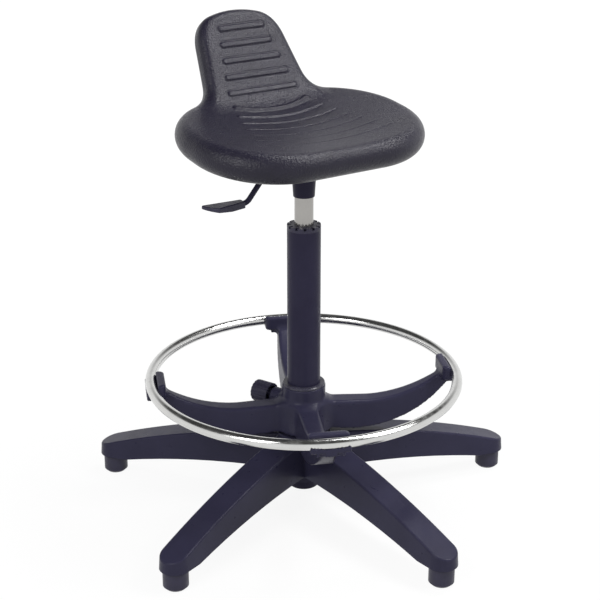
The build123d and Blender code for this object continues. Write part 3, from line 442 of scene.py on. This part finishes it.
def slope_of(form, points):
    """Gradient of a form at each point."""
    parts = []
    for axis in range(3):
        ahead = points.copy()
        behind = points.copy()
        ahead[:, axis] += slope_step_mm
        behind[:, axis] -= slope_step_mm
        parts.append((form(*ahead.T) - form(*behind.T)) / (2 * slope_step_mm))
    return np.stack(parts, axis=1)


def settled(form, points, cell):
    """Points moved down a form's slope until they lie where it is zero."""
    for _ in range(settle_rounds):
        slope = slope_of(form, points)
        steepness = np.maximum((slope**2).sum(axis=1, keepdims=True), least_steepness)
        step = form(*points.T)[:, None] * slope / steepness
        points = points - np.clip(step, -cell / 2, cell / 2)
    return points


def edge_ends(value, axis):
    """Values at the two ends of every grid edge along an axis."""
    count = value.shape[axis]
    return np.take(value, range(count - 1), axis), np.take(value, range(1, count), axis)


def skin_points(value, low, cell):
    """One point in each grid cube that the surface crosses, and the number of the point in each cube."""
    cubes = tuple(size - 1 for size in value.shape)
    total = np.zeros(cubes + (3,))
    count = np.zeros(cubes)
    for axis in range(3):
        one, two = edge_ends(value, axis)
        crossed = (one < 0) != (two < 0)
        share = np.where(crossed, one / np.where(crossed, one - two, 1), 0)
        sides = [side for side in range(3) if side != axis]
        for first in (0, 1):
            for second in (0, 1):
                window = [slice(None)] * 3
                window[sides[0]] = slice(first, first + cubes[sides[0]])
                window[sides[1]] = slice(second, second + cubes[sides[1]])
                hit = crossed[tuple(window)]
                count += hit
                total[..., axis] += np.where(hit, share[tuple(window)], 0)
                total[..., sides[0]] += first * hit
                total[..., sides[1]] += second * hit
    used = count > 0
    number = np.full(cubes, -1)
    number[used] = np.arange(used.sum())
    points = np.array(low) + cell * (np.argwhere(used) + total[used] / count[used][:, None])
    return points, number


def skin_faces(value, number):
    """Four-sided faces, one round each grid edge that the surface crosses."""
    faces = []
    for axis in range(3):
        one, two = edge_ends(value, axis)
        second, third = (axis + 1) % 3, (axis + 2) % 3
        edge = np.argwhere((one < 0) != (two < 0))
        inner = (edge[:, second] > 0) & (edge[:, third] > 0)
        inner &= (edge[:, second] < number.shape[second]) & (edge[:, third] < number.shape[third])
        edge = edge[inner]
        ring = []
        for step_second, step_third in ((1, 1), (0, 1), (0, 0), (1, 0)):
            cube = edge.copy()
            cube[:, second] -= step_second
            cube[:, third] -= step_third
            ring.append(number[tuple(cube.T)])
        ring = np.stack(ring, axis=1)
        turned = one[tuple(edge.T)] >= 0
        ring[turned] = ring[turned][:, ::-1]
        faces.append(ring)
    return np.concatenate(faces)


def skinned(form, low, high, cell):
    """Points and four-sided faces of the surface where a form is zero, on a grid of cubes."""
    axes = [np.arange(start, end + cell, cell) for start, end in zip(low, high)]
    grid = np.meshgrid(*axes, indexing="ij")
    value = form(*[side.ravel() for side in grid]).reshape(grid[0].shape)
    points, number = skin_points(value, low, cell)
    return settled(form, points, cell), skin_faces(value, number)


def mesh_piece(name, points, faces, material):
    """A smooth-shaded mesh object from points and faces in metres."""
    mesh = bpy.data.meshes.new(name)
    mesh.from_pydata(points.tolist(), [], faces.tolist())
    mesh.polygons.foreach_set("use_smooth", [True] * len(mesh.polygons))
    mesh.materials.append(material)
    mesh.update()
    piece = bpy.data.objects.new(name, mesh)
    bpy.context.scene.collection.objects.link(piece)
    return piece


def points_of(mesh):
    """Corner points of a mesh as rows of coordinates."""
    flat = np.empty(3 * len(mesh.vertices))
    mesh.vertices.foreach_get("co", flat)
    return flat.reshape(-1, 3)


def cut_finer(mesh, chosen, cuts):
    """Cuts the edges of a mesh between chosen points into smaller ones."""
    work = bmesh.new()
    work.from_mesh(mesh)
    edges = [edge for edge in work.edges if all(chosen[corner.index] for corner in edge.verts)]
    bmesh.ops.subdivide_edges(work, edges=edges, cuts=cuts, use_grid_fill=True)
    work.to_mesh(mesh)
    work.free()
    mesh.polygons.foreach_set("use_smooth", [True] * len(mesh.polygons))


# Materials
def ranged(tree, source, starts, ends):
    """A signal brought from one range of values to another."""
    node = tree.nodes.new("ShaderNodeMapRange")
    node.inputs["From Min"].default_value, node.inputs["From Max"].default_value = starts
    node.inputs["To Min"].default_value, node.inputs["To Max"].default_value = ends
    tree.links.new(source, node.inputs["Value"])
    return node.outputs["Result"]


class Surface:
    """A material with one principled shader, fed by procedural colour, roughness and bump."""

    def __init__(self, name, colour, roughness, metallic=0.0, specular=0.5):
        self.material = bpy.data.materials.new(name)
        self.material.use_nodes = True
        self.tree = self.material.node_tree
        self.nodes = self.tree.nodes
        self.links = self.tree.links
        self.shader = self.nodes["Principled BSDF"]
        self.shader.inputs["Base Color"].default_value = (*colour, 1)
        self.shader.inputs["Roughness"].default_value = roughness
        self.shader.inputs["Metallic"].default_value = metallic
        self.shader.inputs["Specular IOR Level"].default_value = specular
        self.place = self.nodes.new("ShaderNodeTexCoord").outputs["Object"]

    def stretched(self, scale):
        """The place on the piece, scaled along each axis."""
        mapping = self.nodes.new("ShaderNodeMapping")
        mapping.inputs["Scale"].default_value = scale
        self.links.new(self.place, mapping.inputs["Vector"])
        return mapping.outputs["Vector"]

    def noise(self, grain_mm, detail, stretch=None):
        """Noise whose grain has a real size, stretched along an axis if asked."""
        node = self.nodes.new("ShaderNodeTexNoise")
        node.inputs["Scale"].default_value = 1 / (grain_mm * METRES_PER_MM)
        node.inputs["Detail"].default_value = detail
        place = self.stretched(stretch) if stretch else self.place
        self.links.new(place, node.inputs["Vector"])
        return node.outputs["Fac"]

    def vary_colour(self, source, dark, pale):
        """Colour that wanders between two tones."""
        ramp = self.nodes.new("ShaderNodeValToRGB")
        for element, position, tone in zip(ramp.color_ramp.elements, NOISE_RANGE, (dark, pale)):
            element.position = position
            element.color = (*tone, 1)
        self.links.new(source, ramp.inputs["Fac"])
        self.links.new(ramp.outputs["Color"], self.shader.inputs["Base Color"])

    def vary_roughness(self, source, smooth, rough):
        """Roughness that wanders between two values."""
        roughness = ranged(self.tree, source, NOISE_RANGE, (smooth, rough))
        self.links.new(roughness, self.shader.inputs["Roughness"])

    def bump(self, source, height_mm, strength=1.0):
        """Relief of a real height; a second relief adds to the first."""
        node = self.nodes.new("ShaderNodeBump")
        node.inputs["Distance"].default_value = height_mm * METRES_PER_MM
        node.inputs["Strength"].default_value = strength
        self.links.new(source, node.inputs["Height"])
        earlier = self.shader.inputs["Normal"].links
        if earlier:
            self.links.new(earlier[0].from_socket, node.inputs["Normal"])
        self.links.new(node.outputs["Normal"], self.shader.inputs["Normal"])


def scaled(colour, share):
    """A colour made darker or paler by a share."""
    return tuple(share * part for part in colour)


def seat_surface():
    """Black moulded foam skin with a fine grain and a soft sheen."""
    surface = Surface("seat_skin", colour=(0.013, 0.0115, 0.022), roughness=0.3, specular=0.25)
    patches = surface.noise(grain_mm=38, detail=4)
    surface.vary_colour(patches, dark=(0.0115, 0.0100, 0.0195), pale=(0.0145, 0.0130, 0.0245))
    surface.vary_roughness(surface.noise(grain_mm=9, detail=5), smooth=0.27, rough=0.34)
    surface.bump(surface.noise(grain_mm=2.4, detail=2), height_mm=1.0)
    surface.bump(surface.noise(grain_mm=1.1, detail=2), height_mm=0.25)
    return surface.material


def nylon_surface():
    """Black glass-filled nylon with a fine spark-eroded grain over a slight waviness."""
    surface = Surface("black_nylon", colour=(0.027, 0.0255, 0.050), roughness=0.32, specular=0.12)
    patches = surface.noise(grain_mm=60, detail=4)
    surface.vary_colour(patches, dark=(0.0245, 0.023, 0.0455), pale=(0.0295, 0.028, 0.0545))
    surface.vary_roughness(surface.noise(grain_mm=14, detail=5), smooth=0.27, rough=0.36)
    surface.bump(surface.noise(grain_mm=0.8, detail=3), height_mm=0.10, strength=0.6)
    surface.bump(surface.noise(grain_mm=22, detail=2), height_mm=0.25, strength=0.3)
    return surface.material


def plastic_surface(name, colour, roughness):
    """Plain moulded plastic with a slight orange peel."""
    surface = Surface(name, colour, roughness, specular=plastic_specular)
    patches = surface.noise(grain_mm=25, detail=4)
    surface.vary_colour(patches, scaled(colour, plastic_darkest), scaled(colour, plastic_palest))
    spread = plastic_roughness_spread
    surface.vary_roughness(surface.noise(grain_mm=8, detail=4), roughness - spread, roughness + spread)
    surface.bump(surface.noise(grain_mm=1.2, detail=2), height_mm=0.06, strength=0.5)
    return surface.material


def paint_surface():
    """Satin black powder coat on steel."""
    surface = Surface("black_paint", colour=(0.021, 0.019, 0.040), roughness=0.36, specular=0.1)
    patches = surface.noise(grain_mm=45, detail=3)
    surface.vary_colour(patches, dark=(0.019, 0.017, 0.037), pale=(0.023, 0.021, 0.043))
    surface.vary_roughness(surface.noise(grain_mm=6, detail=4), smooth=0.30, rough=0.42)
    surface.bump(surface.noise(grain_mm=1.6, detail=2), height_mm=0.05, strength=0.5)
    return surface.material


def metal_surface(name, colour, roughness, grain_mm, stretch=None):
    """Bare or plated metal with a fine uneven polish."""
    surface = Surface(name, colour, roughness, metallic=1.0)
    surface.vary_colour(surface.noise(grain_mm=30, detail=3), scaled(colour, metal_darkest), colour)
    polish = surface.noise(grain_mm, detail=4, stretch=stretch)
    surface.vary_roughness(polish, roughness * metal_smoothest, roughness * metal_roughest)
    return surface.material


def plywood_surface():
    """Birch plywood with grain along its length."""
    surface = Surface("plywood", colour=(0.5, 0.36, 0.22), roughness=0.62)
    grain = surface.noise(grain_mm=5, detail=6, stretch=(0.08, 1, 1))
    surface.vary_colour(grain, dark=(0.40, 0.27, 0.15), pale=(0.60, 0.45, 0.29))
    surface.vary_roughness(grain, smooth=0.55, rough=0.7)
    surface.bump(grain, height_mm=0.15, strength=0.4)
    return surface.material


surfaces = {
    "seat_skin": seat_surface(),
    "black_nylon": nylon_surface(),
    "black_paint": paint_surface(),
    "plywood": plywood_surface(),
}
surfaces.update({name: plastic_surface(name, **look) for name, look in plastics.items()})
surfaces.update({name: metal_surface(name, **look) for name, look in metals.items()})
slot_of_node = {part["node"]: part["material_slot"] for part in frame["record"]["subparts"]}
for node, piece in frame["nodes"].items():
    piece.data.materials.clear()
    piece.data.materials.append(surfaces[slot_of_node[node]])

# Seat piece: the plain form is meshed first, then cut finer and raised where it has bars and ribs
seat_cell = seat_cell_mm
seat_points, seat_faces = skinned(plain_seat_form, seat_low_mm, seat_high_mm, seat_cell)
seat_piece = mesh_piece("moulded_seat", seat_points * METRES_PER_MM, seat_faces, surfaces["seat_skin"])
near_detail = np.zeros(len(seat_points), bool)
x, y, z = seat_points.T
for step in (-detail_margin_mm, 0, detail_margin_mm):
    near_detail |= bar_rise(x, y + step, z) != 0
    near_detail |= rib_rise(x, y + step, z) != 0
cut_finer(seat_piece.data, near_detail, detail_cuts)
fine_points = settled(seat_form, points_of(seat_piece.data) / METRES_PER_MM, seat_cell)
seat_piece.data.vertices.foreach_set("co", (fine_points * METRES_PER_MM).ravel())
seat_piece.data.update()
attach(seat_piece, "seat")
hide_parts("seat_pad")

# Spider of the foot ring, with soft hollows where its arms grow from the hub
spider_cell = spider_cell_mm
spider_points, spider_faces = skinned(spider_form, spider_low_mm, spider_high_mm, spider_cell)
spider_points = spider_points * METRES_PER_MM
spider_piece = mesh_piece("ring_spider", spider_points, spider_faces, surfaces["black_nylon"])
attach(spider_piece, "footring")
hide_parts("footring_spider")

# Foot ring: one smooth round of tube
round_ring, round_tube = np.meshgrid(
    np.arange(ring_steps) * 2 * pi / ring_steps, np.arange(tube_steps) * 2 * pi / tube_steps, indexing="ij"
)
reach = ring_radius_mm + ring_tube_mm * np.cos(round_tube)
rise = ring_height_mm + ring_tube_mm * np.sin(round_tube)
ring_points = np.stack((reach * np.cos(round_ring), reach * np.sin(round_ring), rise), axis=-1)
ring_points = ring_points.reshape(-1, 3) * METRES_PER_MM
corner = np.arange(ring_steps * tube_steps).reshape(ring_steps, tube_steps)
ring_faces = np.stack(
    (corner, np.roll(corner, -1, 0), np.roll(corner, (-1, -1), (0, 1)), np.roll(corner, -1, 1)), axis=-1
)
ring_piece = mesh_piece("foot_ring", ring_points, ring_faces.reshape(-1, 4), surfaces["chrome_plate"])
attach(ring_piece, "footring")
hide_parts("footring_tube")


# Floor, light and camera
def mixed(tree, share, one, other):
    """A mix of two shaders by a signal."""
    node = tree.nodes.new("ShaderNodeMixShader")
    tree.links.new(share, node.inputs["Fac"])
    tree.links.new(one, node.inputs[1])
    tree.links.new(other, node.inputs[2])
    return node.outputs["Shader"]


def seen_directly(tree):
    """A signal that is 1 for what the camera sees, straight, mirrored or through glass."""
    path = tree.nodes.new("ShaderNodeLightPath")
    total = path.outputs["Is Camera Ray"]
    for kind in ("Is Glossy Ray", "Is Transmission Ray"):
        node = tree.nodes.new("ShaderNodeMath")
        node.operation = "MAXIMUM"
        tree.links.new(total, node.inputs[0])
        tree.links.new(path.outputs[kind], node.inputs[1])
        total = node.outputs["Value"]
    return total


def floor_surface():
    """Grey floor that takes a soft shadow and is lightened to white where it is seen."""
    surface = Surface("floor", floor_colour, floor_roughness)
    tree = surface.tree
    glow = tree.nodes.new("ShaderNodeEmission")
    glow.inputs["Strength"].default_value = floor_glow
    nearness = tree.nodes.new("ShaderNodeTexGradient")
    nearness.gradient_type = "SPHERICAL"
    tree.links.new(surface.stretched((1 / floor_shadow_reach,) * 3), nearness.inputs["Vector"])
    share = ranged(tree, nearness.outputs["Fac"], (0, 1), (1, 1 - floor_shadow_share))
    lightened = mixed(tree, share, surface.shader.outputs["BSDF"], glow.outputs["Emission"])
    shown = mixed(tree, seen_directly(tree), surface.shader.outputs["BSDF"], lightened)
    tree.links.new(shown, tree.nodes["Material Output"].inputs["Surface"])
    return surface.material


floor_corners = [(x * floor_half, y * floor_half, 0) for x, y in ((-1, -1), (1, -1), (1, 1), (-1, 1))]
floor_mesh = bpy.data.meshes.new("floor")
floor_mesh.from_pydata(floor_corners, [], [(0, 1, 2, 3)])
floor_mesh.materials.append(floor_surface())
floor = bpy.data.objects.new("floor", floor_mesh)
bpy.context.scene.collection.objects.link(floor)


def light_panel(name, place, size, watts):
    """A soft rectangular lamp that faces the middle of the stool."""
    lamp = bpy.data.lights.new(name, "AREA")
    lamp.shape = "RECTANGLE"
    lamp.size, lamp.size_y = size
    lamp.energy = watts
    holder = bpy.data.objects.new(name, lamp)
    holder.location = place
    holder.rotation_euler = (Vector(place) - Vector(lamp_target)).to_track_quat("Z", "Y").to_euler()
    bpy.context.scene.collection.objects.link(holder)


for lamp_name, lamp in lamps.items():
    light_panel(lamp_name, **lamp)


def studio_world():
    """A white backdrop all round that fades into a dark ceiling."""
    world = bpy.data.worlds.new("studio")
    world.use_nodes = True
    tree = world.node_tree
    room = tree.nodes["Background"]
    room.inputs["Color"].default_value = (1, 1, 1, 1)
    parts = tree.nodes.new("ShaderNodeSeparateXYZ")
    tree.links.new(tree.nodes.new("ShaderNodeTexCoord").outputs["Generated"], parts.inputs["Vector"])
    strength = ranged(tree, parts.outputs["Z"], backdrop_heights, (backdrop_white, room_dark))
    tree.links.new(strength, room.inputs["Strength"])
    return world


bpy.context.scene.world = studio_world()

camera_data = bpy.data.cameras.new("camera")
camera_data.lens = camera_lens_mm
camera_data.sensor_width = camera_sensor_mm
camera = bpy.data.objects.new("camera", camera_data)
camera.location = [part * METRES_PER_MM for part in camera_place_mm]
camera.rotation_euler = (pi / 2 - radians(camera_pitch), 0, -radians(camera_heading))
bpy.context.scene.collection.objects.link(camera)
bpy.context.scene.camera = camera
bpy.context.scene.view_settings.view_transform = "Standard"
